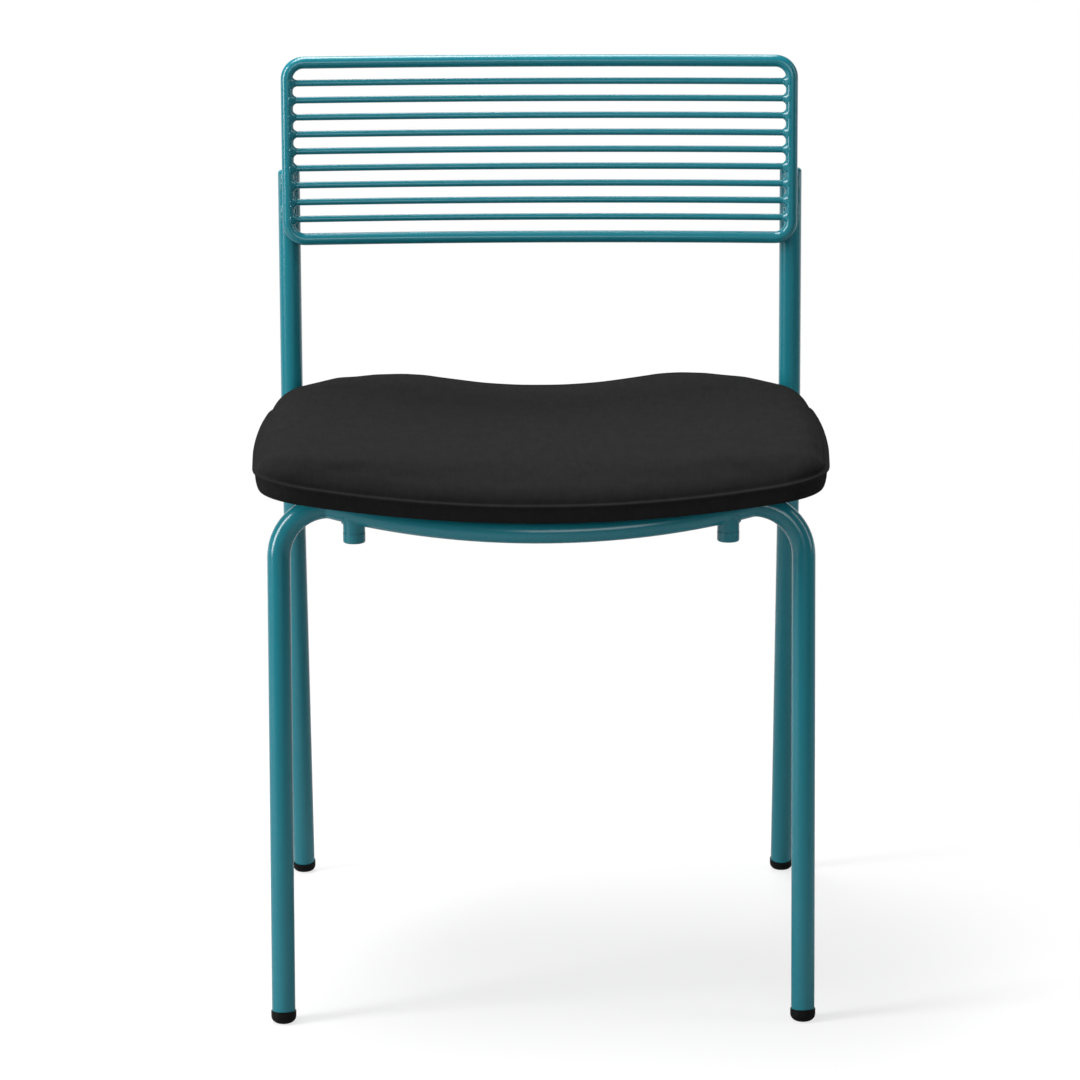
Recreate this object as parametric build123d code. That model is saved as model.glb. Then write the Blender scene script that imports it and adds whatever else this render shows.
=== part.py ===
from build123d import *
import os
from math import asin, atan, cos, hypot, radians, sin, sqrt, tan

# Stacking dining chair of painted steel tube with a wire back and a loose seat pad.
# Millimetres, +Z up, the front faces -Y, the origin is on the floor under the middle of the plan.

# Tube, rod and wire stock
TUBE_D = 20.0
TUBE_WALL = 1.5
REAR_RAIL_D = 16.0
SIDE_RAIL_D = 14.0
ROD_D = 11.0
WIRE_D = 6.0
WELD_GAP = 0.2

# Where the leg axes meet the floor
FRONT_LEG_SPACING = 446.0
REAR_LEG_SPREAD = 10.5
FRONT_FOOT_Y = -221.1
REAR_FOOT_Y = 228.9

# Front legs and the bowed, dished front rail
RAIL_HEIGHT = 442.7
FRONT_RAKE = 6.3
LEG_BEND_R = 43.0
RAIL_BOW = 43.5
RAIL_DISH = 13.0
MITRE_STOCK = 14.0

# Rear legs, which bend at the knee and go on up as back posts
KNEE_Y = 150.4
KNEE_Z = 422.0
KNEE_R = 120.0
POST_LEAN = 2.3
POST_TOP = 684.5
POST_LID = 2.0
POST_ROUND = 3.5

# Backrest: a loop of rod with wire rungs, bowed back in the middle
BACK_HEIGHT = 160.0
BACK_MID_Z = 702.3
BACK_BOW = 13.5
BACK_CORNER_R = 15.0
BACK_RUNG_COUNT = 9
BACK_RUNG_MARGIN = 18.4

# Dished wires across the seat frame
SEAT_RUNG_COUNT = 8
SEAT_RUNG_DROP = 2.0
COPE_INSET = 2.0

# Capped stubs under the front rail, which the next chair of a stack rests on
STUB_INSET = 64.5
STUB_D = 18.8
STUB_LENGTH = 6.5
STUB_CAP_D = 19.0
STUB_CAP_HEIGHT = 9.3
STUB_NECK_D = 17.4
STUB_NECK_HEIGHT = 1.0
STUB_CAP_ROUND = 1.6
STUB_PLUG_LENGTH = 4.0

# Foot caps, pushed into the tube ends and cut level with the floor
CAP_D = 21.6
CAP_HEIGHT = 10.5
CAP_ROUND = 6.0
PLUG_LENGTH = 22.0
PLUG_CLEARANCE = 0.15

# Seat pad
PAD_GAP = 0.3
PAD_SIDE_OVERHANG = 26.0
PAD_FRONT_OVERHANG = 13.5
PAD_WIDE_Y = -60.0
PAD_SIDE_R = 1780.0
PAD_FRONT_CORNER_R = 36.0
PAD_REAR_CORNER = 107.6
PAD_TAIL = 74.0
PAD_TAIL_FLAT = 160.0
PAD_BAND_HEIGHT = 15.5
PAD_BAND_DRAW = 4.0
PAD_ROLL_HEIGHT = 13.5
PAD_ROLL_WIDTH = 20.0
PAD_END_ROLL_WIDTH = 13.0
PAD_CROWN = 6.0
PAD_BACK_RISE = 8.0
PAD_COVER = 1.6
PAD_BASE = 2.4
PAD_SEAM_DROP = 0.6
PAD_FOAM_GAP = 0.3
PAD_END_ROLL = 3.0
PAD_ROLL_BEND = 45.0
PAD_END_STATIONS = (0, 0.15, 0.45, 1)
PAD_SIDE_STATIONS = (0.35, 0.7, 1)
PAD_TAIL_STATIONS = (0.25, 0.45, 0.62, 0.76, 0.87)

# Sizes that follow from those above
TUBE_R = TUBE_D / 2
BORE_D = TUBE_D - 2 * TUBE_WALL
FRONT_X = FRONT_LEG_SPACING / 2
REAR_X = (FRONT_LEG_SPACING + REAR_LEG_SPREAD) / 2
RAIL_END_X = FRONT_X - LEG_BEND_R
RAIL_END_Y = FRONT_FOOT_Y + RAIL_HEIGHT * tan(radians(FRONT_RAKE))
RAIL_SAG = hypot(RAIL_BOW, RAIL_DISH)
RAIL_R = (RAIL_END_X**2 + RAIL_SAG**2) / (2 * RAIL_SAG)
DISH_AXIS_R = (RAIL_END_X**2 + RAIL_DISH**2) / (2 * RAIL_DISH)
DISH_CENTRE_Z = RAIL_HEIGHT - RAIL_DISH + DISH_AXIS_R
SEAT_R = DISH_AXIS_R - TUBE_R
SIDES = {"left": -1, "right": 1}


def dish_z(radius, x):
    """Height at x of an arc about the axis that every curve of the seat shares."""
    return DISH_CENTRE_Z - sqrt(radius**2 - x**2)


def post_y(z):
    """How far back the post axis is at a height above the knee."""
    return KNEE_Y + (z - KNEE_Z) * tan(radians(POST_LEAN))


REAR_RAIL_Y = post_y(dish_z(SEAT_R + REAR_RAIL_D / 2, REAR_X))


def bar(path, diameter):
    """Solid round bar along a path."""
    start = Plane(origin=path @ 0, z_dir=path % 0)
    return sweep(start * Circle(diameter / 2), path=path)


def tube(path, diameter):
    """Tube of a given outside diameter along a path."""
    return bar(path, diameter) - bar(path, diameter - 2 * TUBE_WALL)


def front_foot(side):
    return Vector(side * FRONT_X, FRONT_FOOT_Y, 0)


def rear_foot(side):
    return Vector(side * REAR_X, REAR_FOOT_Y, 0)


def front_up():
    """Direction of both front legs, from the floor up."""
    return Vector(0, sin(radians(FRONT_RAKE)), cos(radians(FRONT_RAKE)))


def rear_up(side):
    """Direction of a rear leg, from the floor up to the knee."""
    return (Vector(side * REAR_X, KNEE_Y, KNEE_Z) - rear_foot(side)).normalized()


def front_leg_path(side):
    start = front_foot(side) + front_up() * CAP_HEIGHT
    corner = Vector(side * FRONT_X, RAIL_END_Y, RAIL_HEIGHT)
    end = Vector(side * (RAIL_END_X - MITRE_STOCK), RAIL_END_Y, RAIL_HEIGHT)
    return FilletPolyline(start, corner, end, radius=LEG_BEND_R)


def rail_end(side):
    return Vector(side * RAIL_END_X, RAIL_END_Y, RAIL_HEIGHT)


def rail_end_direction(side):
    """Direction of the front rail at its end, pointing outwards."""
    turn = 2 * atan(RAIL_SAG / RAIL_END_X)
    rise = sin(turn) / RAIL_SAG
    return Vector(side * cos(turn), RAIL_BOW * rise, RAIL_DISH * rise)


def mitre_block(side, outwards):
    """Block that trims a tube on the plane where a leg's bend meets the front rail."""
    normal = rail_end_direction(side) + Vector(side, 0, 0)
    if not outwards:
        normal = normal * -1
    plane = Plane(origin=rail_end(side), z_dir=normal)
    size = 2 * TUBE_D
    return plane * Cylinder(TUBE_D, size, align=(Align.CENTER, Align.CENTER, Align.MIN))


def front_leg(side):
    return tube(front_leg_path(side), TUBE_D) - mitre_block(side, outwards=False)


def front_rail_path():
    left, right = rail_end(-1), rail_end(1)
    middle = Vector(0, RAIL_END_Y - RAIL_BOW, RAIL_HEIGHT - RAIL_DISH)
    left_stock = left + rail_end_direction(-1) * MITRE_STOCK
    right_stock = right + rail_end_direction(1) * MITRE_STOCK
    return Wire([Line(left_stock, left), ThreePointArc(left, middle, right), Line(right, right_stock)])


def front_rail():
    rail = tube(front_rail_path(), TUBE_D)
    for side in SIDES.values():
        rail -= mitre_block(side, outwards=True)
    return rail


def post_path(side, top=POST_TOP):
    """Axis of the straight post, from the knee up to a height."""
    return Line(Vector(side * REAR_X, KNEE_Y, KNEE_Z), Vector(side * REAR_X, post_y(top), top))


def rear_leg_path(side, top):
    start = rear_foot(side) + rear_up(side) * CAP_HEIGHT
    post = post_path(side, top)
    return FilletPolyline(start, post @ 0, post @ 1, radius=KNEE_R)


def rear_leg(side):
    """Leg and post in one tube, closed by a flat lid with a rounded rim."""
    leg = bar(rear_leg_path(side, POST_TOP), TUBE_D)
    leg = fillet(leg.edges().sort_by(Axis.Z)[-1], POST_ROUND)
    return leg - bar(rear_leg_path(side, POST_TOP - POST_LID), BORE_D)


def dish_path(radius, half_width, y):
    """Dished line across the seat."""
    edge_z = dish_z(radius, half_width)
    middle = Vector(0, y, dish_z(radius, 0))
    return ThreePointArc(Vector(-half_width, y, edge_z), middle, Vector(half_width, y, edge_z))


def rear_rail_path():
    return dish_path(SEAT_R + REAR_RAIL_D / 2, REAR_X, REAR_RAIL_Y)


def rear_rail():
    rail = tube(rear_rail_path(), REAR_RAIL_D)
    for side in SIDES.values():
        rail -= bar(post_path(side), TUBE_D)
    return rail


def side_rail_path(side):
    height = dish_z(SEAT_R + SIDE_RAIL_D / 2, RAIL_END_X)
    start = Vector(side * RAIL_END_X, RAIL_END_Y, height)
    return Line(start, Vector(side * RAIL_END_X, REAR_RAIL_Y - COPE_INSET, height))


def side_rail(side):
    rail = tube(side_rail_path(side), SIDE_RAIL_D)
    rail -= bar(front_leg_path(side), TUBE_D)
    rail -= bar(front_rail_path(), TUBE_D)
    return rail - bar(rear_rail_path(), REAR_RAIL_D)


def seat_rung(index):
    """Dished wire, cut square and welded between the side rails."""
    pitch = (REAR_RAIL_Y - RAIL_END_Y) / (SEAT_RUNG_COUNT + 1)
    radius = SEAT_R + SEAT_RUNG_DROP + WIRE_D / 2
    reach = RAIL_END_X - SIDE_RAIL_D / 2 - WELD_GAP
    end_tilt = WIRE_D / 2 * reach / radius
    return bar(dish_path(radius, reach - end_tilt, RAIL_END_Y + index * pitch), WIRE_D)


def back_plane():
    """Plane of the backrest's side rods, in front of the posts: X across, Y up, Z forward."""
    lean = radians(POST_LEAN)
    forward = Vector(0, -cos(lean), sin(lean))
    middle = Vector(0, post_y(BACK_MID_Z), BACK_MID_Z)
    offset = TUBE_R + ROD_D / 2 + WELD_GAP
    return Plane(origin=middle + forward * offset, x_dir=(1, 0, 0), z_dir=forward)


RAIL_HALF = REAR_X - BACK_CORNER_R
BACK_R = (RAIL_HALF**2 + BACK_BOW**2) / (2 * BACK_BOW)
BACK_TURN = asin(RAIL_HALF / BACK_R)
ROD_X = RAIL_HALF + BACK_CORNER_R * cos(BACK_TURN)
CORNER_SETBACK = BACK_CORNER_R * sin(BACK_TURN)
BACK_RUNG_PITCH = (BACK_HEIGHT - 2 * BACK_RUNG_MARGIN) / (BACK_RUNG_COUNT - 1)


def half_back_rail(height):
    """Half of a bowed back rail, from the middle to the corner."""
    quarter = RAIL_HALF / 2
    quarter_z = BACK_R - BACK_BOW - sqrt(BACK_R**2 - quarter**2) - CORNER_SETBACK
    middle = Vector(0, height, -BACK_BOW - CORNER_SETBACK)
    end = Vector(RAIL_HALF, height, -CORNER_SETBACK)
    return ThreePointArc(middle, Vector(quarter, height, quarter_z), end)


def back_corner(height):
    """Round corner between a back rail and the side rod."""
    inward = Vector(0, -1 if height > 0 else 1, 0)
    outward = Vector(cos(BACK_TURN), 0, sin(BACK_TURN))
    start = Vector(RAIL_HALF, height, -CORNER_SETBACK)
    centre = start + inward * BACK_CORNER_R
    middle = centre + (outward - inward).normalized() * BACK_CORNER_R
    return ThreePointArc(start, middle, centre + outward * BACK_CORNER_R)


def backrest_frame():
    """Closed loop of rod, as a right half and its mirror image."""
    top = BACK_HEIGHT / 2
    rod_end = top - BACK_CORNER_R
    rod = Line(Vector(ROD_X, rod_end, 0), Vector(ROD_X, -rod_end, 0))
    path = Wire([half_back_rail(top), back_corner(top), rod, back_corner(-top), half_back_rail(-top)])
    half = bar(path, ROD_D)
    return back_plane() * (half + mirror(half, about=Plane.YZ))


def backrest_rung(index):
    """Wire rung, bowed like the rails, cut square and welded between the side rods."""
    height = (index - (BACK_RUNG_COUNT + 1) / 2) * -BACK_RUNG_PITCH
    bow = BACK_BOW + CORNER_SETBACK
    radius = (ROD_X**2 + bow**2) / (2 * bow)
    reach = ROD_X - ROD_D / 2 - WELD_GAP
    end_z = radius - bow - sqrt(radius**2 - reach**2)
    middle = Vector(0, height, -bow)
    path = ThreePointArc(Vector(-reach, height, end_z), middle, Vector(reach, height, end_z))
    return back_plane() * bar(path, WIRE_D)


def stub_place(side):
    """Point of the front rail's axis over a stub."""
    x = FRONT_X - STUB_INSET
    drop = (sqrt(RAIL_R**2 - x**2) - (RAIL_R - RAIL_SAG)) / RAIL_SAG
    return Vector(side * x, RAIL_END_Y - RAIL_BOW * drop, RAIL_HEIGHT - RAIL_DISH * drop)


def stacking_stub(side):
    axis = stub_place(side)
    length = TUBE_R + STUB_LENGTH
    up = (Align.CENTER, Align.CENTER, Align.MIN)
    stub = Cylinder(STUB_D / 2, length, align=up) - Cylinder(STUB_D / 2 - TUBE_WALL, length, align=up)
    stub = Pos(axis.X, axis.Y, axis.Z - length) * stub - bar(front_rail_path(), TUBE_D)
    return stub - (bar(front_leg_path(side), TUBE_D) - mitre_block(side, outwards=False))


def stacking_cap(side):
    """Cap with a plug, set off from its stub by a narrow neck."""
    axis = stub_place(side)
    down = (Align.CENTER, Align.CENTER, Align.MAX)
    up = (Align.CENTER, Align.CENTER, Align.MIN)
    head = Cylinder(STUB_CAP_D / 2, STUB_CAP_HEIGHT - STUB_NECK_HEIGHT, align=down)
    head = Pos(0, 0, -STUB_NECK_HEIGHT) * fillet(head.edges().sort_by(Axis.Z)[0], STUB_CAP_ROUND)
    neck = Cylinder(STUB_NECK_D / 2, STUB_NECK_HEIGHT, align=down)
    plug = Cylinder(STUB_D / 2 - TUBE_WALL - PLUG_CLEARANCE, STUB_PLUG_LENGTH, align=up)
    return Pos(axis.X, axis.Y, axis.Z - TUBE_R - STUB_LENGTH) * (head + neck + plug)


def foot_cap(foot, up_direction):
    """Cap along the leg's axis, cut flat where it stands on the floor, with a rounded rim."""
    up = (Align.CENTER, Align.CENTER, Align.MIN)
    leg = Plane(origin=foot, z_dir=up_direction)
    head = leg * Pos(0, 0, -CAP_D) * Cylinder(CAP_D / 2, CAP_HEIGHT + CAP_D, align=up)
    head -= Pos(foot) * Box(4 * CAP_D, 4 * CAP_D, 4 * CAP_D, align=(Align.CENTER, Align.CENTER, Align.MAX))
    head = fillet(head.edges().sort_by(Axis.Z)[0], CAP_ROUND)
    plug = Pos(0, 0, CAP_HEIGHT) * Cylinder(BORE_D / 2 - PLUG_CLEARANCE, PLUG_LENGTH, align=up)
    return head + leg * plug


PAD_BOTTOM_R = SEAT_R - PAD_GAP
PAD_SEAM_R = PAD_BOTTOM_R - PAD_BAND_HEIGHT
PAD_WIDTH = FRONT_LEG_SPACING + 2 * PAD_SIDE_OVERHANG
PAD_FRONT_Y = RAIL_END_Y - RAIL_BOW - TUBE_R - PAD_FRONT_OVERHANG
PAD_CORNER_Y = PAD_FRONT_Y + PAD_FRONT_CORNER_R
PAD_POST_Y = post_y(dish_z(PAD_SEAM_R, REAR_X))
PAD_REAR_Y = PAD_POST_Y - PAD_REAR_CORNER
PAD_BACK_Y = PAD_POST_Y + PAD_TAIL
PAD_REAR_DEPTH = PAD_BACK_Y - PAD_REAR_Y


def pad_side(y):
    """Half the pad's width along its gently bowed sides."""
    return PAD_WIDTH / 2 - (y - PAD_WIDE_Y)**2 / (2 * PAD_SIDE_R)


def pad_half_width(y):
    """Half the pad's width: round front corners, bowed sides, wide rear corners inside the posts."""
    if y < PAD_CORNER_Y:
        reach = PAD_CORNER_Y - y
        return pad_side(PAD_CORNER_Y) - PAD_FRONT_CORNER_R + sqrt(max(PAD_FRONT_CORNER_R**2 - reach**2, 0))
    share = max(y - PAD_REAR_Y, 0) / PAD_REAR_DEPTH
    flat = PAD_TAIL_FLAT / 2
    return flat + (pad_side(y) - flat) * sqrt(max(1 - share**2, 0))


def pad_roll(distance):
    """Height of the rounded top edge over the seam, by the distance from the pad's end."""
    reach = 1 - min(max(distance / PAD_END_ROLL_WIDTH, 0), 1)
    return PAD_END_ROLL + (PAD_ROLL_HEIGHT - PAD_END_ROLL) * sqrt(1 - reach**2)


def pad_back_rise(y):
    """Extra height of the top towards the back, where the pad lies on the rear rail."""
    share = max(y - PAD_REAR_Y, 0) / PAD_REAR_DEPTH
    return PAD_BACK_RISE * share**2 * (3 - 2 * share)


def pad_section(y, inset):
    """Closed outline of the pad across the seat, drawn in by an inset all round."""
    half = pad_half_width(y) - inset
    end_distance = min(y - PAD_FRONT_Y, PAD_BACK_Y - y)
    roll = pad_roll(end_distance - inset) + pad_back_rise(y)
    crown = PAD_CROWN * min(end_distance / (2 * PAD_ROLL_WIDTH), 1)
    bottom_r = PAD_BOTTOM_R - inset / 2
    top_r = PAD_SEAM_R - roll + inset
    bottom_x = half - PAD_BAND_DRAW
    bend_x = half - PAD_ROLL_WIDTH * (1 - cos(radians(PAD_ROLL_BEND)))
    top_x = half - PAD_ROLL_WIDTH
    bend_r = PAD_SEAM_R + (top_r - PAD_SEAM_R) * sin(radians(PAD_ROLL_BEND))

    def point(side, x, radius):
        return Vector(side * x, y, dish_z(radius, x))

    bottom = ThreePointArc(
        point(-1, bottom_x, bottom_r), Vector(0, y, dish_z(bottom_r, 0)), point(1, bottom_x, bottom_r)
    )
    top = ThreePointArc(
        point(1, top_x, top_r), Vector(0, y, dish_z(top_r - crown, 0)), point(-1, top_x, top_r)
    )
    edges = [bottom, Line(bottom @ 1, point(1, half, PAD_SEAM_R))]
    edges.append(ThreePointArc(point(1, half, PAD_SEAM_R), point(1, bend_x, bend_r), top @ 0))
    edges.append(top)
    edges.append(ThreePointArc(top @ 1, point(-1, bend_x, bend_r), point(-1, half, PAD_SEAM_R)))
    edges.append(Line(point(-1, half, PAD_SEAM_R), bottom @ 0))
    return Face(Wire(edges))


def pad_form(inset):
    """Crowned, dished cushion, lofted from front to back."""
    steps = [share * PAD_END_ROLL_WIDTH for share in PAD_END_STATIONS]
    places = [PAD_FRONT_Y + inset + step for step in steps]
    places.append(PAD_CORNER_Y)
    places += [PAD_CORNER_Y + (PAD_REAR_Y - PAD_CORNER_Y) * share for share in PAD_SIDE_STATIONS]
    places += [PAD_REAR_Y + PAD_REAR_DEPTH * share for share in PAD_TAIL_STATIONS]
    places += [PAD_BACK_Y - inset - step for step in reversed(steps)]
    return loft([pad_section(y, inset) for y in places])


def dish_drum(radius):
    """Drum about the dish's axis: what is inside lies above the arc of that radius."""
    length = 2 * (PAD_BACK_Y - PAD_FRONT_Y)
    middle_y = (PAD_BACK_Y + PAD_FRONT_Y) / 2
    return Pos(0, middle_y, DISH_CENTRE_Z) * Rot(X=90) * Cylinder(radius, length)


def pad_pieces():
    """Top cover and side band round a foam core, closed by the base."""
    whole = pad_form(0)
    above_base = dish_drum(PAD_BOTTOM_R - PAD_BASE)
    above_seam = dish_drum(PAD_SEAM_R + PAD_SEAM_DROP)
    skin = (whole & above_base) - pad_form(PAD_COVER)
    foam_room = dish_drum(PAD_BOTTOM_R - PAD_BASE - PAD_FOAM_GAP)
    return {
        "pad_top_cover": skin & above_seam,
        "pad_side_band": skin - above_seam,
        "pad_base": whole - above_base,
        "pad_foam": pad_form(PAD_COVER + PAD_FOAM_GAP) & foam_room,
    }


def chair():
    """Every piece of the chair by its node's name."""
    pieces = {"front_rail": front_rail(), "rear_rail": rear_rail()}
    for name, side in SIDES.items():
        pieces[f"front_leg_{name}"] = front_leg(side)
        pieces[f"rear_leg_{name}"] = rear_leg(side)
        pieces[f"side_rail_{name}"] = side_rail(side)
        pieces[f"stacking_stub_{name}"] = stacking_stub(side)
        pieces[f"stacking_cap_{name}"] = stacking_cap(side)
        pieces[f"foot_cap_front_{name}"] = foot_cap(front_foot(side), front_up())
        pieces[f"foot_cap_rear_{name}"] = foot_cap(rear_foot(side), rear_up(side))
    for index in range(1, SEAT_RUNG_COUNT + 1):
        pieces[f"seat_rung_{index}"] = seat_rung(index)
    pieces["backrest_frame"] = backrest_frame()
    for index in range(1, BACK_RUNG_COUNT + 1):
        pieces[f"backrest_rung_{index}"] = backrest_rung(index)
    pieces.update(pad_pieces())
    return pieces


os.makedirs("parts", exist_ok=True)
for node, piece in chair().items():
    export_step(piece, f"parts/{node}.step")
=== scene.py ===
from math import asin, atan, cos, hypot, pi, radians, sin, sqrt, tan

import bmesh
import bpy
from mathutils import Matrix, Vector
from mathutils.kdtree import KDTree


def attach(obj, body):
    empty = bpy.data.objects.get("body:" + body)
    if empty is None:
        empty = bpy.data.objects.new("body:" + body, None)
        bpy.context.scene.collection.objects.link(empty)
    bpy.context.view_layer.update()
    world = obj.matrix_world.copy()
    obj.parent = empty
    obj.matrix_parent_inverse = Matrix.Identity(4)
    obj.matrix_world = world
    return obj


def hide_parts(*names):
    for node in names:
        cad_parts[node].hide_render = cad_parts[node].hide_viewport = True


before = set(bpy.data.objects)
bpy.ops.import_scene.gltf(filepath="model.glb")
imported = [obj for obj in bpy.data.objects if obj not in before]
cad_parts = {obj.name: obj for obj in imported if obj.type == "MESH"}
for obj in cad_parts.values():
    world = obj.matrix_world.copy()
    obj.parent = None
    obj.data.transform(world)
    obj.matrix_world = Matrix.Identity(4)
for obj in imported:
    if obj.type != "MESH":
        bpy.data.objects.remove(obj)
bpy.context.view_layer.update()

# Legs and seat rails. Bent steel tube, coped, mitred and welded into one frame, then
# powder coated in a satin teal that flows out with a fine orange peel.
TEAL = (0.011, 0.172, 0.216, 1)
TEAL_DEEP = (0.008, 0.147, 0.187, 1)
COAT_DRIFT_SCALE = 14.0
COAT_DRIFT_TONE = 0.8
COAT_FLECK_SCALE = 1600.0
COAT_FLECK_TONE = 0.3
COAT_LIGHTENING = 0.05
COAT_PEEL_SCALE = 520.0
COAT_PEEL_DEPTH = 0.0002
COAT_ROUGHNESS = 0.17
COAT_ROUGHNESS_DRIFT = 0.08
COAT_WEIGHT = 0.10
COAT_WEIGHT_DRIFT = 0.10


class Socket:
    """A shader or geometry socket that takes part in Python expressions."""

    def __init__(self, tree, socket=None):
        self.tree = tree
        self.socket = socket

    def node(self, kind, settings, sockets, out=0):
        """Any node: its settings come first, then the values or links of its sockets."""
        made = self.tree.nodes.new(kind)
        for name, value in settings.items():
            setattr(made, name, value)
        for key, value in sockets.items():
            if isinstance(value, Socket):
                self.tree.links.new(value.socket, made.inputs[key])
            else:
                made.inputs[key].default_value = value
        return Socket(self.tree, made.outputs[out])

    def maths(self, operation, *values):
        return self.node("ShaderNodeMath", {"operation": operation}, dict(enumerate(values)))

    def __add__(self, other):
        return self.maths("ADD", self, other)

    def __sub__(self, other):
        return self.maths("SUBTRACT", self, other)

    def __rsub__(self, other):
        return self.maths("SUBTRACT", other, self)

    def __mul__(self, other):
        return self.maths("MULTIPLY", self, other)

    __radd__ = __add__
    __rmul__ = __mul__


def new_finish(name, constants):
    """Material with a Principled shader, its constant inputs, and its Object coordinates."""
    material = bpy.data.materials.new(name)
    material.use_nodes = True
    shader = material.node_tree.nodes["Principled BSDF"]
    for socket, value in constants.items():
        shader.inputs[socket].default_value = value
    start = Socket(material.node_tree)
    place = start.node("ShaderNodeTexCoord", {}, {}, out="Object")
    return material, shader, place


def noise(place, scale, detail=2.0, roughness=0.5):
    return place.node(
        "ShaderNodeTexNoise",
        {},
        {"Vector": place, "Scale": scale, "Detail": detail, "Roughness": roughness},
    )


def mix_colour(share, first, second):
    settings = {"data_type": "RGBA", "clamp_factor": True}
    return share.node("ShaderNodeMix", settings, {0: share, 6: first, 7: second}, out=2)


def feed(shader, socket, value):
    value.tree.links.new(value.socket, shader.inputs[socket])


def powder_coat(name, first, second):
    """Satin powder coat: slow drift of colour, orange peel and a clear, smooth top."""
    constants = {"Coat Roughness": 0.10, "Specular IOR Level": 0.4}
    material, shader, place = new_finish(name, constants)
    drift = noise(place, COAT_DRIFT_SCALE, detail=3.0)
    fleck = noise(place, COAT_FLECK_SCALE, detail=1.0)
    tone = drift * COAT_DRIFT_TONE + fleck * COAT_FLECK_TONE - COAT_LIGHTENING
    feed(shader, "Base Color", mix_colour(tone, first, second))
    feed(shader, "Roughness", COAT_ROUGHNESS + drift * COAT_ROUGHNESS_DRIFT)
    feed(shader, "Coat Weight", COAT_WEIGHT + drift * COAT_WEIGHT_DRIFT)
    peel = noise(place, COAT_PEEL_SCALE, detail=1.5)
    sockets = {"Strength": 0.02, "Distance": COAT_PEEL_DEPTH, "Height": peel}
    feed(shader, "Normal", peel.node("ShaderNodeBump", {}, sockets))
    return material


def coat(node, material):
    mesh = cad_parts[node].data
    mesh.materials.clear()
    mesh.materials.append(material)


teal_coat = powder_coat("teal_powder_coat", TEAL, TEAL_DEEP)
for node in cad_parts:
    if not node.startswith(("pad_", "foot_cap")):
        coat(node, teal_coat)

# Back. A loop of steel rod with rounded corners, bowed to fit the back, and nine wires across
# it. The wires are welded to the loop's sides, and the loop to the fronts of the posts.
LEAN = radians(2.3)
KNEE = Vector((0, 0.1504, 0.4220))
REAR_X = 0.22825
TUBE_R = 0.010
ROD_R = 0.0055
WIRE_R = 0.003
WELD_GAP = 0.0002
BACK_HEIGHT = 0.160
BACK_MID_Z = 0.7023
BACK_BOW = 0.0135
BACK_CORNER_R = 0.015
BACK_RUNGS = 9
BACK_RUNG_PITCH = 0.0154
BAR_SIDES = 32
BAR_STEP = 0.003
CORNER_STEPS = 12
SIDES = (-1, 1)

post_up = Vector((0, sin(LEAN), cos(LEAN)))
post_forward = Vector((0, -cos(LEAN), sin(LEAN)))
across = Vector((1, 0, 0))
back_middle = KNEE + post_up * ((BACK_MID_Z - KNEE.z) / cos(LEAN))
back_middle += post_forward * (TUBE_R + ROD_R + WELD_GAP)
rail_half = REAR_X - BACK_CORNER_R
back_turn = 2 * atan(BACK_BOW / rail_half)
ROD_X = rail_half + BACK_CORNER_R * cos(back_turn)
corner_setback = BACK_CORNER_R * sin(back_turn)
top_rung = (BACK_RUNGS - 1) / 2 * BACK_RUNG_PITCH
rung_heights = [top_rung - number * BACK_RUNG_PITCH for number in range(BACK_RUNGS)]


def back_point(x, height, forward=0.0):
    """Point in the plane of the back's rods."""
    return back_middle + across * x + post_up * height + post_forward * forward


def new_tree(name, sizes):
    """Empty Geometry Nodes tree with its named sizes, and the sockets of its group input."""
    tree = bpy.data.node_groups.new(name, "GeometryNodeTree")
    tree.interface.new_socket("Geometry", in_out="INPUT", socket_type="NodeSocketGeometry")
    for size in sizes:
        tree.interface.new_socket(size, in_out="INPUT", socket_type="NodeSocketFloat")
    tree.interface.new_socket("Geometry", in_out="OUTPUT", socket_type="NodeSocketGeometry")
    given = tree.nodes.new("NodeGroupInput")
    return tree, {socket.name: Socket(tree, socket) for socket in given.outputs if socket.name}


def end_tree(geometry, material):
    """Closing nodes of a tree: plain, smooth, painted mesh."""
    plain = geometry.node("GeometryNodeRealizeInstances", {}, {0: geometry})
    smooth = plain.node("GeometryNodeSetShadeSmooth", {}, {0: plain})
    painted = smooth.node("GeometryNodeSetMaterial", {}, {0: smooth, "Material": material})
    end = painted.tree.nodes.new("NodeGroupOutput")
    painted.tree.links.new(painted.socket, end.inputs[0])


def evaluated_mesh(thing):
    """New mesh of an object as its modifiers leave it."""
    shown = thing.evaluated_get(bpy.context.evaluated_depsgraph_get())
    return bpy.data.meshes.new_from_object(shown)


def grow(name, tree, mesh, sizes):
    """Object with the plain mesh that a tree makes on a mesh of points or lines."""
    piece = bpy.data.objects.new(name, mesh)
    bpy.context.scene.collection.objects.link(piece)
    modifier = piece.modifiers.new("grow", "NODES")
    modifier.node_group = tree
    for item in tree.interface.items_tree:
        if item.in_out == "INPUT" and item.name in sizes:
            modifier[item.identifier] = sizes[item.name]
    grown = evaluated_mesh(piece)
    piece.modifiers.clear()
    piece.data = grown
    return piece


def swept_bar_tree():
    """Round bars along lines, with a ring at every point and closed ends."""
    tree, given = new_tree("swept_bar", ["Bar Radius"])
    start = Socket(tree)
    path = start.node("GeometryNodeMeshToCurve", {}, {0: given["Geometry"]})
    sizes = {"Resolution": BAR_SIDES, "Radius": given["Bar Radius"]}
    profile = start.node("GeometryNodeCurvePrimitiveCircle", {}, sizes)
    sockets = {0: path, "Profile Curve": profile, "Fill Caps": True}
    end_tree(start.node("GeometryNodeCurveToMesh", {}, sockets), teal_coat)
    return tree


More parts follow.
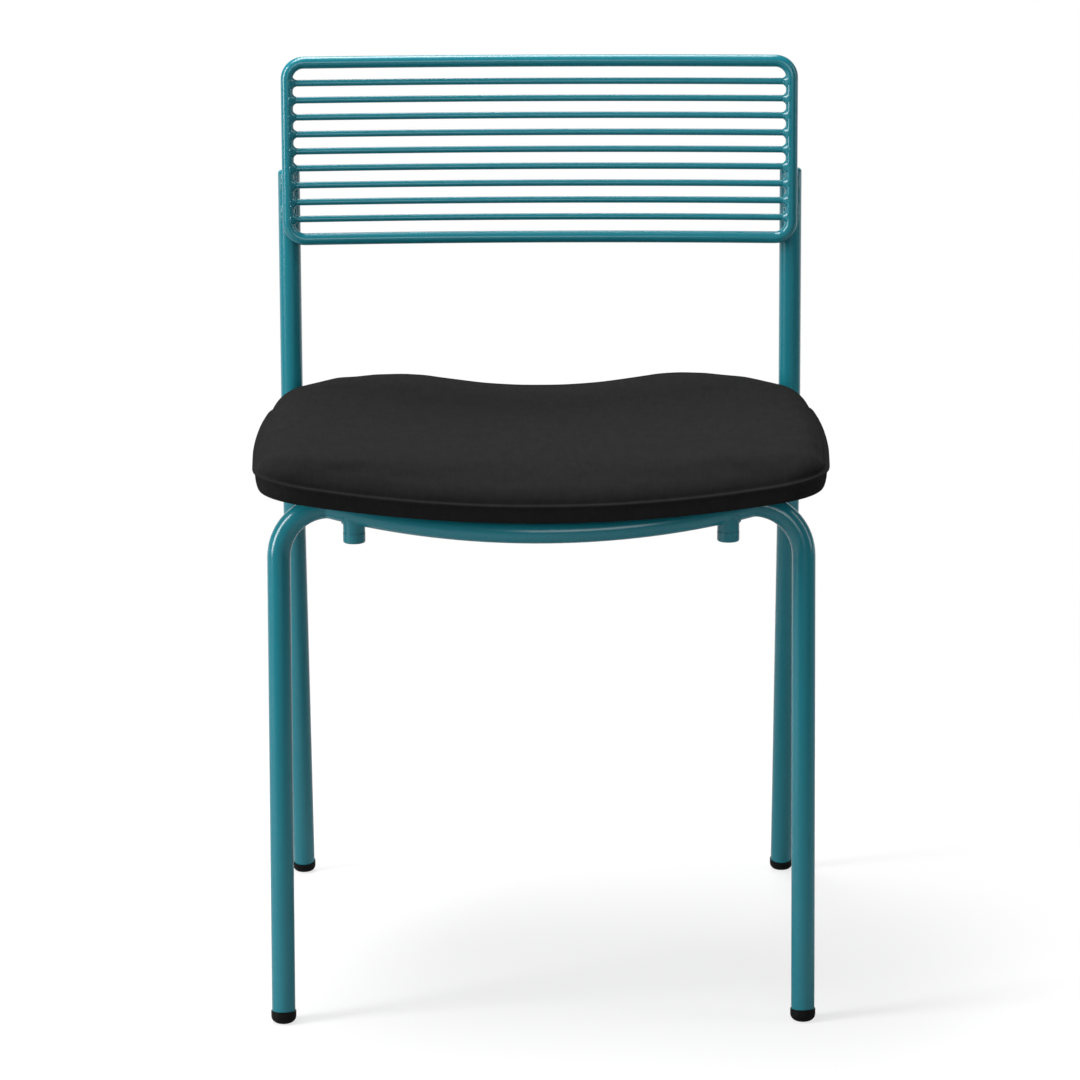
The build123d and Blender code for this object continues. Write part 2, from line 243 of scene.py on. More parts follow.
def lines_mesh(name, paths, closed):
    """Mesh of lines through the points of each path."""
    lines, first = [], 0
    for path in paths:
        last = len(path) if closed else len(path) - 1
        lines += [(first + i, first + (i + 1) % len(path)) for i in range(last)]
        first += len(path)
    mesh = bpy.data.meshes.new(name)
    mesh.from_pydata([point for path in paths for point in path], lines, [])
    return mesh


def bowed_line(reach, half_chord, sag, height, setback):
    """Points along an arc that bows back, from one side to the other."""
    radius = (half_chord**2 + sag**2) / (2 * sag)
    count = round(2 * reach / BAR_STEP)
    places = [reach * (2 * step / count - 1) for step in range(count + 1)]
    return [
        back_point(x, height, radius - sag - sqrt(radius**2 - x**2) - setback) for x in places
    ]


def back_loop():
    """Points round the loop: each rail from left to right or back, and its two corners."""
    points = []
    for turn in SIDES:
        height = -turn * BACK_HEIGHT / 2
        rail = bowed_line(rail_half, rail_half, BACK_BOW, height, corner_setback)
        points += rail if turn < 0 else rail[::-1]
        corner_height = height + turn * BACK_CORNER_R
        for step in range(1, CORNER_STEPS + 1):
            angle = pi / 2 * step / CORNER_STEPS
            out = BACK_CORNER_R * sin(angle)
            x = -turn * (rail_half + out * cos(back_turn))
            rise = -turn * BACK_CORNER_R * cos(angle)
            forward = out * sin(back_turn) - corner_setback
            points.append(back_point(x, corner_height + rise, forward))
        rod_end = BACK_HEIGHT / 2 - BACK_CORNER_R
        count = round(2 * rod_end / BAR_STEP)
        heights = [turn * rod_end * (2 * step / count - 1) for step in range(1, count)]
        points += [back_point(-turn * ROD_X, rise) for rise in heights]
        for step in range(CORNER_STEPS):
            angle = pi / 2 * step / CORNER_STEPS
            out = BACK_CORNER_R * cos(angle)
            x = -turn * (rail_half + out * cos(back_turn))
            rise = turn * (rod_end + BACK_CORNER_R * sin(angle))
            forward = out * sin(back_turn) - corner_setback
            points.append(back_point(x, rise, forward))
    return points


def keep_painted(piece):
    """Lets a piece ride on the frame."""
    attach(piece, "frame")


bar_tree = swept_bar_tree()
loop_lines = lines_mesh("back_loop", [back_loop()], True)
loop = grow("back_loop", bar_tree, loop_lines, {"Bar Radius": ROD_R})
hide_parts("backrest_frame")
keep_painted(loop)

rung_reach = ROD_X - ROD_R - WELD_GAP
rung_bow = BACK_BOW + corner_setback
rung_paths = [bowed_line(rung_reach, ROD_X, rung_bow, height, 0.0) for height in rung_heights]
rung_lines = lines_mesh("back_rungs", rung_paths, False)
rungs = grow("back_rungs", bar_tree, rung_lines, {"Bar Radius": WIRE_R})
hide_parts(*[f"backrest_rung_{number}" for number in range(1, BACK_RUNGS + 1)])
keep_painted(rungs)

# Welds. Where a wire or tube ends on another, a fillet of weld runs round it, softened by the
# paint. Short runs hold the back's rods on the posts, and a low bead closes each mitre.
RAIL_HEIGHT = 0.4427
RAIL_END = Vector((0.180, -0.17223, RAIL_HEIGHT))
RAIL_BOW = 0.0435
RAIL_DISH = 0.0130
REAR_RAIL_R = 0.008
SIDE_RAIL_R = 0.007
STUB_R = 0.0094
STUB_X = 0.1585
SEAT_RUNGS = 8
SEAT_RUNG_DROP = 0.002
COLLAR_PROFILE_POINTS = 16
COLLAR_RING_POINTS = 36
COLLAR_WIDEST = 0.985
COLLAR_LUMPS = 0.00022
COLLAR_LUMP_SCALE = 330.0
BACK_RUNG_FILLET = 0.0031
SEAT_RUNG_FILLET = 0.0030
SIDE_RAIL_FILLET = 0.0028
REAR_RAIL_FILLET = 0.0032
STUB_FILLET = 0.0016

rung_turn = 2 * atan(rung_bow / ROD_X)
dish_r = (RAIL_END.x**2 + RAIL_DISH**2) / (2 * RAIL_DISH)
DISH_CENTRE_Z = RAIL_HEIGHT - RAIL_DISH + dish_r
SEAT_R = dish_r - TUBE_R


def dish_z(radius, x):
    """Height at x of an arc about the axis that the whole seat shares."""
    return DISH_CENTRE_Z - sqrt(radius**2 - x**2)


def parts_of(vector):
    """The x, y and z of a vector."""
    first = vector.node("ShaderNodeSeparateXYZ", {}, {0: vector})
    return [Socket(vector.tree, output) for output in first.socket.node.outputs]


def moved(geometry, x, y, z):
    place = x.node("ShaderNodeCombineXYZ", {}, {0: x, 1: y, 2: z})
    return geometry.node("GeometryNodeSetPosition", {}, {0: geometry, "Position": place})


def lumpy(geometry, height, scale):
    """Surface with the uneven lumps of weld metal."""
    place = geometry.node("GeometryNodeInputPosition", {}, {})
    lumps = (noise(place, scale, detail=1.0) - 0.5) * (height * 2)
    normal = place.node("GeometryNodeInputNormal", {}, {})
    sockets = {0: normal, "Scale": lumps}
    offset = normal.node("ShaderNodeVectorMath", {"operation": "SCALE"}, sockets)
    return geometry.node("GeometryNodeSetPosition", {}, {0: geometry, "Offset": offset})


def weld_collar_tree():
    """Hollow fillet round the end of a branch, lying on the round of the main tube."""
    sizes = ["Branch Radius", "Main Radius", "Main Offset", "Fillet"]
    tree, given = new_tree("weld_collar", sizes)
    start = Socket(tree)
    unit_sizes = {"Resolution": COLLAR_PROFILE_POINTS, "Radius": 1.0}
    unit = start.node("GeometryNodeCurvePrimitiveCircle", {}, unit_sizes)
    x, y, z = parts_of(start.node("GeometryNodeInputPosition", {}, {}))
    fillet = given["Fillet"]
    profile = moved(unit, x * x * x * fillet, y * y * y * fillet, z)
    ring_sizes = {"Resolution": COLLAR_RING_POINTS, "Radius": given["Branch Radius"]}
    ring = start.node("GeometryNodeCurvePrimitiveCircle", {}, ring_sizes)
    collar = ring.node("GeometryNodeCurveToMesh", {}, {0: ring, "Profile Curve": profile})
    x, y, z = parts_of(start.node("GeometryNodeInputPosition", {}, {}))
    main = given["Main Radius"]
    widest = main * COLLAR_WIDEST
    aside = y - given["Main Offset"]
    aside = aside.maths("MINIMUM", aside, widest)
    aside = aside.maths("MAXIMUM", aside, 0 - widest)
    rise_squared = main * main - aside * aside
    rise = rise_squared.maths("SQRT", rise_squared)
    seated = moved(collar, x, aside + given["Main Offset"], z + rise)
    axes = [
        start.node("GeometryNodeInputNamedAttribute", {"data_type": "FLOAT_VECTOR"}, {"Name": name})
        for name in ("branch", "main")
    ]
    settings = {"primary_axis": "Z", "secondary_axis": "X"}
    turned = start.node("FunctionNodeAxesToRotation", settings, {0: axes[0], 1: axes[1]})
    sockets = {"Points": given["Geometry"], "Instance": seated, "Rotation": turned}
    placed = start.node("GeometryNodeInstanceOnPoints", {}, sockets)
    plain = placed.node("GeometryNodeRealizeInstances", {}, {0: placed})
    end_tree(lumpy(plain, COLLAR_LUMPS, COLLAR_LUMP_SCALE), teal_coat)
    return tree


def weld_collars(name, joints, branch_r, main_r, offset, fillet):
    """Collars at joints, each given by its place and the directions of branch and main tube."""
    sizes = {"Branch Radius": branch_r, "Main Radius": main_r}
    sizes |= {"Main Offset": offset, "Fillet": fillet}
    mesh = bpy.data.meshes.new(name)
    mesh.from_pydata([place for place, branch, main in joints], [], [])
    for index, direction in ((1, "branch"), (2, "main")):
        layer = mesh.attributes.new(direction, "FLOAT_VECTOR", "POINT")
        layer.data.foreach_set("vector", [value for joint in joints for value in joint[index]])
    keep_painted(grow(name, collar_tree, mesh, sizes))


collar_tree = weld_collar_tree()

joints = []
for height in rung_heights:
    for side in SIDES:
        branch = across * (-side * cos(rung_turn)) - post_forward * sin(rung_turn)
        joints.append((back_point(side * ROD_X, height), branch, post_up))
weld_collars("back_rung_welds", joints, WIRE_R, ROD_R, 0.0, BACK_RUNG_FILLET)

joints = []
rear_rail_z = dish_z(SEAT_R + REAR_RAIL_R, REAR_X)
REAR_RAIL_Y = KNEE.y + (rear_rail_z - KNEE.z) * tan(LEAN)
rung_r = SEAT_R + SEAT_RUNG_DROP + WIRE_R
rung_slope = asin(RAIL_END.x / rung_r)
for number in range(1, SEAT_RUNGS + 1):
    y = RAIL_END.y + number * (REAR_RAIL_Y - RAIL_END.y) / (SEAT_RUNGS + 1)
    for side in SIDES:
        place = Vector((side * RAIL_END.x, y, dish_z(rung_r, RAIL_END.x)))
        branch = Vector((-side * cos(rung_slope), 0, -sin(rung_slope)))
        joints.append((place, branch, Vector((0, side, 0))))
rung_offset = SIDE_RAIL_R - WIRE_R - SEAT_RUNG_DROP
weld_collars("seat_rung_welds", joints, WIRE_R, SIDE_RAIL_R, rung_offset, SEAT_RUNG_FILLET)

side_rail_z = dish_z(SEAT_R + SIDE_RAIL_R, RAIL_END.x)
backwards = Vector((0, 1, 0))
for name, y, turn, main_r in (
    ("side_rail_front_welds", RAIL_END.y, 1, TUBE_R),
    ("side_rail_rear_welds", REAR_RAIL_Y, -1, REAR_RAIL_R),
):
    joints = [
        (Vector((side * RAIL_END.x, y, side_rail_z)), backwards * turn, across * turn)
        for side in SIDES
    ]
    weld_collars(name, joints, SIDE_RAIL_R, main_r, main_r - SIDE_RAIL_R, SIDE_RAIL_FILLET)

rail_slope = asin(REAR_X / (SEAT_R + REAR_RAIL_R))
joints = [
    (
        Vector((side * REAR_X, REAR_RAIL_Y, rear_rail_z)),
        Vector((-side * cos(rail_slope), 0, -sin(rail_slope))),
        post_up,
    )
    for side in SIDES
]
weld_collars("rear_rail_welds", joints, REAR_RAIL_R, TUBE_R, 0.0, REAR_RAIL_FILLET)

rail_sag = hypot(RAIL_BOW, RAIL_DISH)
rail_r = (RAIL_END.x**2 + rail_sag**2) / (2 * rail_sag)
rail_fall = Vector((0, RAIL_BOW, RAIL_DISH)) / rail_sag
stub_depth = sqrt(rail_r**2 - STUB_X**2)
stub_drop = stub_depth - (rail_r - rail_sag)
joints = [
    (
        Vector((side * STUB_X, RAIL_END.y, RAIL_HEIGHT)) - rail_fall * stub_drop,
        Vector((0, 0, -1)),
        across + rail_fall * (side * STUB_X / stub_depth),
    )
    for side in SIDES
]
weld_collars("stub_welds", joints, STUB_R, TUBE_R, 0.0, STUB_FILLET)

RUN_POINTS = 48
RUN_PROFILE_POINTS = 14
RUN_LUMP_SCALE = 420.0
POST_RUNS = ((-0.0200, -0.0370), (-0.0480, -0.0660))
POST_RUN_FLANK = 0.0054
POST_RUN_DEPTH = 0.0049
POST_RUN_SIZES = {"Bead Radius": 0.0021, "Taper": 0.85, "Lumps": 0.0004}
MITRE_POINTS = 40
MITRE_SINK = 0.0008
MITRE_SIZES = {"Bead Radius": 0.0011, "Taper": 0.0, "Lumps": 0.00015}


def weld_run_tree():
    """Bead along lines, which a taper brings to a round end."""
    tree, given = new_tree("weld_run", ["Bead Radius", "Taper", "Lumps"])
    start = Socket(tree)
    path = start.node("GeometryNodeMeshToCurve", {}, {0: given["Geometry"]})
    path = start.node("GeometryNodeResampleCurve", {}, {0: path, "Count": RUN_POINTS})
    along = start.node("GeometryNodeSplineParameter", {}, {}, out="Factor")
    from_middle = (along * 2 - 1) * (along * 2 - 1)
    thickness = 1 - given["Taper"] * from_middle * from_middle * from_middle
    unit_sizes = {"Resolution": RUN_PROFILE_POINTS, "Radius": 1.0}
    profile = start.node("GeometryNodeCurvePrimitiveCircle", {}, unit_sizes)
    sockets = {0: path, 1: profile, "Scale": given["Bead Radius"] * thickness, "Fill Caps": True}
    bead = start.node("GeometryNodeCurveToMesh", {}, sockets)
    end_tree(lumpy(bead, given["Lumps"], RUN_LUMP_SCALE), teal_coat)
    return tree


def weld_runs(name, paths, closed, sizes):
    """Painted beads along paths, on the frame."""
    keep_painted(grow(name, run_tree, lines_mesh(name, paths, closed), sizes))


run_tree = weld_run_tree()
paths = [
    [back_point(side * ROD_X + flank * POST_RUN_FLANK, height, -POST_RUN_DEPTH) for height in run]
    for side in SIDES
    for flank in SIDES
    for run in POST_RUNS
]
weld_runs("post_welds", paths, False, POST_RUN_SIZES)

rail_turn = 2 * atan(rail_sag / RAIL_END.x)
paths = []
for side in SIDES:
    end = Vector((side * RAIL_END.x, RAIL_END.y, RAIL_END.z))
    normal = across * (side * (1 + cos(rail_turn))) + rail_fall * sin(rail_turn)
    ring = []
    for step in range(MITRE_POINTS):
        turn = 2 * pi * step / MITRE_POINTS
        spoke = Vector((0, cos(turn), sin(turn))) * (TUBE_R - MITRE_SINK)
        ring.append(end + spoke - across * (normal.dot(spoke) / normal.x))
    paths.append(ring)
weld_runs("mitre_welds", paths, True, MITRE_SIZES)

# Foot caps. Black moulded plastic pushed into the tube ends, with a fine grain and the
# dull scuffing that the floor leaves round the rim.
CAP_BLACK = (0.0035, 0.0036, 0.0040, 1)
CAP_SCUFF = (0.016, 0.016, 0.017, 1)
CAP_SCUFF_HEIGHT = 0.004
CAP_SCUFF_SCALE = 900.0
CAP_GRAIN_SCALE = 1400.0
CAP_GRAIN_DEPTH = 0.0003
CAP_ROUGHNESS = 0.50
CAP_SCUFF_ROUGHNESS = 0.35

cap_plastic, cap_shader, place = new_finish("foot_cap_plastic", {"Specular IOR Level": 0.12})
height = parts_of(place)[2]
sockets = {"Value": height, "From Min": 0.0, "From Max": CAP_SCUFF_HEIGHT}
sockets |= {"To Min": 1.0, "To Max": 0.0}
low_rim = height.node("ShaderNodeMapRange", {"clamp": True}, sockets)
scuff = low_rim * noise(place, CAP_SCUFF_SCALE, detail=3.0, roughness=0.6)
feed(cap_shader, "Base Color", mix_colour(scuff, CAP_BLACK, CAP_SCUFF))
feed(cap_shader, "Roughness", CAP_ROUGHNESS + scuff * CAP_SCUFF_ROUGHNESS)
grain = noise(place, CAP_GRAIN_SCALE)
sockets = {"Strength": 0.2, "Distance": CAP_GRAIN_DEPTH, "Height": grain}
feed(cap_shader, "Normal", grain.node("ShaderNodeBump", {}, sockets))
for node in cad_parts:
    if node.startswith("foot_cap"):
        coat(node, cap_plastic)

# Seat pad. A foam pad in charcoal upholstery cloth: a crowned top panel and a narrow side
# band, sewn together over a thin cord and closed by a base cloth that lies on the seat.
PAD_GAP = 0.0003
PAD_BOTTOM_R = SEAT_R - PAD_GAP
BAND_HEIGHT = 0.0155
ROLL_WIDTH = 0.020
ROLL_HEIGHT = 0.0130
CROWN = 0.0065
CROWN_REACH = 0.115
BACK_RISE = 0.0080
SHOULDER_RISE = 0.0060
SHOULDER_DEPTHS = (-0.070, 0.080)
SHOULDER_WIDTHS = (0.010, 0.150)
PAD_FRONT_Y = -0.2392
PAD_CORNER_R = 0.036
PAD_HALF_WIDTH = 0.249
PAD_WIDE_Y = -0.060
PAD_SIDE_R = 1.780
PAD_REAR_Y = 0.0450
PAD_BACK_Y = 0.2266
PAD_TAIL_FLAT = 0.080
SPINE_FRONT_Y = -0.13
SPINE_BACK_Y = 0.11
CORNER_POINTS = 12
SIDE_POINTS = 39
TAIL_POINTS = 32
OUTLINE_POINTS = 288
OUTLINE_SMOOTHING = 4


def pad_side(y):
    return PAD_HALF_WIDTH - (y - PAD_WIDE_Y)**2 / (2 * PAD_SIDE_R)


def pad_half_outline():
    """Right half of the pad's outline from the middle of the front to the middle of the back."""
    corner_x = pad_side(PAD_FRONT_Y + PAD_CORNER_R) - PAD_CORNER_R
    corner_y = PAD_FRONT_Y + PAD_CORNER_R
    points = [(0, PAD_FRONT_Y)]
    for step in range(CORNER_POINTS + 1):
        turn = pi / 2 * step / CORNER_POINTS
        points.append((corner_x + PAD_CORNER_R * sin(turn), corner_y - PAD_CORNER_R * cos(turn)))
    for step in range(1, SIDE_POINTS + 1):
        y = corner_y + (PAD_REAR_Y - corner_y) * step / SIDE_POINTS
        points.append((pad_side(y), y))
    for step in range(1, TAIL_POINTS + 1):
        turn = pi / 2 * step / TAIL_POINTS
        y = PAD_REAR_Y + (PAD_BACK_Y - PAD_REAR_Y) * sin(turn)
        points.append((PAD_TAIL_FLAT + (pad_side(y) - PAD_TAIL_FLAT) * cos(turn), y))
    points.append((0, PAD_BACK_Y))
    return [Vector(point) for point in points]


def evenly(points, count):
    """Points at equal steps along a line of straight runs, its ends included."""
    lengths = [(b - a).length for a, b in zip(points, points[1:])]
    step = sum(lengths) / (count - 1)
    found, index, left = [points[0]], 0, 0.0
    for number in range(1, count - 1):
        target = number * step
        while left + lengths[index] < target:
            left += lengths[index]
            index += 1
        found.append(points[index].lerp(points[index + 1], (target - left) / lengths[index]))
    return found + [points[-1]]


def pad_outline():
    """Whole outline, counter-clockwise from the front, with its corners eased as sewn cloth is."""
    right = evenly(pad_half_outline(), OUTLINE_POINTS // 2 + 1)
    loop = right + [Vector((-point.x, point.y)) for point in reversed(right[1:-1])]
    for _ in range(OUTLINE_SMOOTHING):
        loop = [
            loop[i] * 0.5 + (loop[i - 1] + loop[(i + 1) % len(loop)]) * 0.25
            for i in range(len(loop))
        ]
    return loop


def inward_normals(loop):
    normals = []
    for i in range(len(loop)):
        along = (loop[(i + 1) % len(loop)] - loop[i - 1]).normalized()
        normals.append(Vector((-along.y, along.x)))
    return normals


# Profile from the base's edge to the top of the roll: inset from the outline and height over
# the base. The small hump in the middle is the sewn-in cord, between the seam's two grooves.
PAD_PROFILE = [
    (0.0120, 0.0000), (0.0075, 0.0001), (0.0052, 0.0009), (0.0041, 0.0026), (0.0029, 0.0060),
    (0.0018, 0.0095), (0.0013, 0.0122), (0.0019, 0.0138), (0.0017, 0.0143), (0.0003, 0.0148),
    (-0.0003, 0.0156), (0.0003, 0.0164), (0.0019, 0.0169), (0.0022, 0.0174),
]
SEAM_PROFILE = (7, 13)
ROLL_STEPS = 9
TOP_RINGS = 26
TOP_RING_SPREAD = 0.9
BASE_RINGS = 12
MERGE_DISTANCE = 0.0002

outline = pad_outline()
normals = inward_normals(outline)
roll_start = PAD_PROFILE[-1]


def inset_ring(inset):
    return [point + normal * inset for point, normal in zip(outline, normals)]


def spine_point(point):
    return Vector((0, min(max(point.y, SPINE_FRONT_Y), SPINE_BACK_Y)))


def eased(value, low, high):
    share = min(max((value - low) / (high - low), 0), 1)
    return share**2 * (3 - 2 * share)


def pad_back_rise(point):
    """Extra height of the top towards the back and its shoulders, over the rear rail's ends."""
    shoulder = eased(point.y, *SHOULDER_DEPTHS) * eased(abs(point.x), *SHOULDER_WIDTHS)
    return BACK_RISE * eased(point.y, PAD_REAR_Y, PAD_BACK_Y) + SHOULDER_RISE * shoulder


def pad_top_rise(point, distance):
    """Height of the top over the base, by its place and its distance from the outline."""
    reach = 1 - min(max((distance - roll_start[0]) / (ROLL_WIDTH - roll_start[0]), 0), 1)
    crown = min(distance / CROWN_REACH, 1)
    rise = ROLL_HEIGHT + pad_back_rise(point) - (roll_start[1] - BAND_HEIGHT)
    return roll_start[1] + rise * sqrt(1 - reach**2) + CROWN * crown * (2 - crown)


def lifted(points, rises):
    return [
        (point.x, point.y, dish_z(PAD_BOTTOM_R - rise, point.x))
        for point, rise in zip(points, rises)
    ]


def towards_spine(points, share):
    return [point.lerp(spine_point(point), share) for point in points]


rings = []
base_edge = inset_ring(PAD_PROFILE[0][0])
for ring in range(BASE_RINGS, 0, -1):
    inner = towards_spine(base_edge, ring / BASE_RINGS)
    rings.append(lifted(inner, [0.0] * len(inner)))
base_ring_count = len(rings)
for inset, rise in PAD_PROFILE:
    rings.append(lifted(inset_ring(inset), [rise] * len(outline)))
seam_rings = range(*[base_ring_count + number for number in SEAM_PROFILE])
for step in range(1, ROLL_STEPS + 1):
    turn = pi / 2 * step / ROLL_STEPS
    inset = roll_start[0] + (ROLL_WIDTH - roll_start[0]) * (1 - cos(turn))
    ring = inset_ring(inset)
    rings.append(lifted(ring, [pad_top_rise(point, inset) for point in ring]))
roll_edge = inset_ring(ROLL_WIDTH)
for number in range(1, TOP_RINGS + 1):
    inner = towards_spine(roll_edge, (number / TOP_RINGS)**TOP_RING_SPREAD)
    reaches = [(a - b).length for a, b in zip(inner, roll_edge)]
    rises = [pad_top_rise(point, ROLL_WIDTH + reach) for point, reach in zip(inner, reaches)]
    rings.append(lifted(inner, rises))

pad_mesh = bpy.data.meshes.new("seat_pad")
around = len(outline)
corners = [corner for ring in rings for corner in ring]
quads = []
for ring in range(len(rings) - 1):
    lower, upper = ring * around, (ring + 1) * around
    for i in range(around):
        j = (i + 1) % around
        quads.append((lower + i, lower + j, upper + j, upper + i))
pad_mesh.from_pydata(corners, [], quads)
part_of = pad_mesh.attributes.new("ring", "INT", "POINT")
part_of.data.foreach_set("value", [ring for ring in range(len(rings)) for _ in range(around)])
loose = bmesh.new()
loose.from_mesh(pad_mesh)
bmesh.ops.remove_doubles(loose, verts=loose.verts, dist=MERGE_DISTANCE)
bmesh.ops.recalc_face_normals(loose, faces=loose.faces)
ring_layer = loose.verts.layers.int["ring"]
for face in loose.faces:
    face.smooth = True
    face.material_index = int(max(vert[ring_layer] for vert in face.verts) <= base_ring_count)
loose.to_mesh(pad_mesh)
loose.free()
seat_pad = bpy.data.objects.new("seat_pad", pad_mesh)
bpy.context.scene.collection.objects.link(seat_pad)

# The cover is blown up a little over its foam: a coarse copy swells as cloth under pressure,
# held by the base and half held by the seam, and the pad takes over how far it moved.
SWELL_VOXEL = 0.006
SWELL_PRESSURE = 4.0
SWELL_FRAMES = 20
SWELL_CAP = 0.005
SWELL_SHARE = 0.8
SWELL_NEIGHBOURS = 24
SWELL_SOFTENING = SWELL_VOXEL / 4
SEAM_HOLD = 0.35
BASE_HOLD_HEIGHT = 0.006
BASE_HOLD_RINGS = 2
CLOTH_QUALITY = 5
CLOTH_MASS = 0.3


def swelling(mesh):
    """Rest points of a coarse copy of the pad, and how far each one swells."""
    scene = bpy.context.scene
    copy = bpy.data.objects.new("pad_swell", mesh.copy())
    scene.collection.objects.link(copy)
    voxels = copy.modifiers.new("voxels", "REMESH")
    voxels.mode = "VOXEL"
    voxels.voxel_size = SWELL_VOXEL
    coarse = evaluated_mesh(copy)
    copy.modifiers.clear()
    copy.data = coarse
    rest = [vert.co.copy() for vert in coarse.vertices]
    held = copy.vertex_groups.new(name="held")
    for index, point in enumerate(rest):
        if point.z < dish_z(PAD_BOTTOM_R - BASE_HOLD_HEIGHT, point.x):
            held.add([index], 1.0, "REPLACE")
    cloth = copy.modifiers.new("cover", "CLOTH")
    cloth.settings.quality = CLOTH_QUALITY
    cloth.settings.mass = CLOTH_MASS
    cloth.settings.use_pressure = True
    cloth.settings.uniform_pressure_force = SWELL_PRESSURE
    cloth.settings.effector_weights.gravity = 0
    cloth.settings.vertex_group_mass = "held"
    for step in range(1, SWELL_FRAMES + 1):
        scene.frame_set(step)
    swollen = evaluated_mesh(copy)
    moves = [vert.co - point for vert, point in zip(swollen.vertices, rest)]
    moves = [move.normalized() * min(move.length, SWELL_CAP) for move in moves]
    scene.frame_set(1)
    bpy.data.objects.remove(copy)
    return rest, moves


def take_swelling(mesh, rest, moves):
    """Moves each point of the cover as the nearest points of the coarse copy moved."""
    tree = KDTree(len(rest))
    for index, point in enumerate(rest):
        tree.insert(point, index)
    tree.balance()
    ring_of = mesh.attributes["ring"].data
    for vert in mesh.vertices:
        ring = ring_of[vert.index].value
        if ring <= base_ring_count + BASE_HOLD_RINGS:
            continue
        near = tree.find_n(vert.co, SWELL_NEIGHBOURS)
        shares = [1 / (reach + SWELL_SOFTENING) for _, _, reach in near]
        weighted = [moves[i] * share for (_, i, _), share in zip(near, shares)]
        move = sum(weighted, Vector()) / sum(shares)
        hold = SEAM_HOLD if ring in seam_rings else 1.0
        vert.co += move * SWELL_SHARE * hold


take_swelling(pad_mesh, *swelling(pad_mesh))
smooth = seat_pad.modifiers.new("smooth", "SUBSURF")
smooth.levels = 1
smooth.render_levels = 1

PAD_CLOTH = (0.0088, 0.0088, 0.0089, 1)
PAD_CLOTH_LIGHT = (0.0148, 0.0148, 0.0150, 1)
BASE_CLOTH = (0.0110, 0.0110, 0.0115, 1)
BASE_CLOTH_LIGHT = (0.0190, 0.0190, 0.0195, 1)
PAD_SHEEN = 0.02
THREAD_PITCH = 0.0014
THREAD_DEPTH = 0.0003
BASE_GRID_PITCH = 0.005
BASE_GRID_DEPTH = 0.0008
SLUB_SCALE = (620, 45, 120)
MOTTLE_SCALE = 75.0
SLUB_TONE = 0.75
MOTTLE_TONE = 0.9
WEAVE_TONE = 0.22
DARKENING = 0.33
SLUB_RELIEF = 0.8
WEAVE_RELIEF = 0.6
CLOTH_ROUGHNESS = 0.78
CLOTH_ROUGHNESS_MOTTLE = 0.16


def woven(name, dark, light, pitch, depth, sheen):
    """Plain woven cloth: crossing threads, slubs along the depth of the seat and soft mottling."""
    constants = {"Specular IOR Level": 0.0, "Sheen Weight": sheen, "Sheen Roughness": 0.5}
    material, shader, place = new_finish(name, constants)
    x, y, z = parts_of(place)
    turns = 2 * pi / pitch
    over = x * turns
    along = (y + z) * turns
    weave = over.maths("SINE", over) * along.maths("SINE", along)
    drawn = place.node("ShaderNodeMapping", {}, {"Vector": place, "Scale": SLUB_SCALE})
    slub = noise(drawn, 1.0)
    mottle = noise(place, MOTTLE_SCALE, detail=4.0, roughness=0.6)
    shade = slub * SLUB_TONE + mottle * MOTTLE_TONE + weave * WEAVE_TONE - DARKENING
    feed(shader, "Base Color", mix_colour(shade, dark, light))
    feed(shader, "Roughness", CLOTH_ROUGHNESS + mottle * CLOTH_ROUGHNESS_MOTTLE)
    relief = weave * WEAVE_RELIEF + slub * SLUB_RELIEF
    sockets = {"Strength": 0.45, "Distance": depth, "Height": relief}
    feed(shader, "Normal", relief.node("ShaderNodeBump", {}, sockets))
    return material


for cloth in (
    woven("charcoal_cloth", PAD_CLOTH, PAD_CLOTH_LIGHT, THREAD_PITCH, THREAD_DEPTH, PAD_SHEEN),
    woven("base_cloth", BASE_CLOTH, BASE_CLOTH_LIGHT, BASE_GRID_PITCH, BASE_GRID_DEPTH, 0.0),
):
    pad_mesh.materials.append(cloth)
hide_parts("pad_top_cover", "pad_side_band", "pad_base", "pad_foam")
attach(seat_pad, "pad")

# Stand for the picture: a pale floor that keeps the shadow, soft boxes on the left, on the
# right, above and in front, and a long lens that looks a little down on the chair's front.
CAMERA_PLACE = (0.0005, -3.8788, 1.2438)
CAMERA_PITCH = radians(77.364)
CAMERA_YAW = radians(0.0243)
CAMERA_ROLL = radians(-0.25)
CAMERA_LENS = 148.94
CAMERA_REACH = 100
FLOOR_REACH = 30.0
FLOOR_PALE = (0.90, 0.90, 0.90, 1)
FLOOR_BOUNCE = (0.40, 0.40, 0.40, 1)
FLOOR_FADE = (0.3, 1.5)
FLOOR_GLOW = (0.70, 1.0)
MIRRORED_FLOOR = (0.5, 2.5)
MIRRORED_SKY = (0.5, 1.0)
WHITE = (1, 1, 1, 1)
ROOM_LIGHT = 0.12
PAPER_LIGHT = 1.0
CHAIR_MIDDLE = (0, 0, 0.45)

floor_mesh = bpy.data.meshes.new("floor")
corners = [(-FLOOR_REACH, -FLOOR_REACH, 0), (FLOOR_REACH, -FLOOR_REACH, 0)]
corners += [(FLOOR_REACH, FLOOR_REACH, 0), (-FLOOR_REACH, FLOOR_REACH, 0)]
floor_mesh.from_pydata(corners, [], [(0, 1, 2, 3)])
floor = bpy.data.objects.new("floor", floor_mesh)
bpy.context.scene.collection.objects.link(floor)

floor_paint = bpy.data.materials.new("pale_floor")
floor_paint.use_nodes = True
floor_tree = floor_paint.node_tree
floor_tree.nodes.clear()
start = Socket(floor_tree)
place = start.node("ShaderNodeTexCoord", {}, {}, out="Object")
distance = place.node("ShaderNodeVectorMath", {"operation": "LENGTH"}, {0: place}, out="Value")


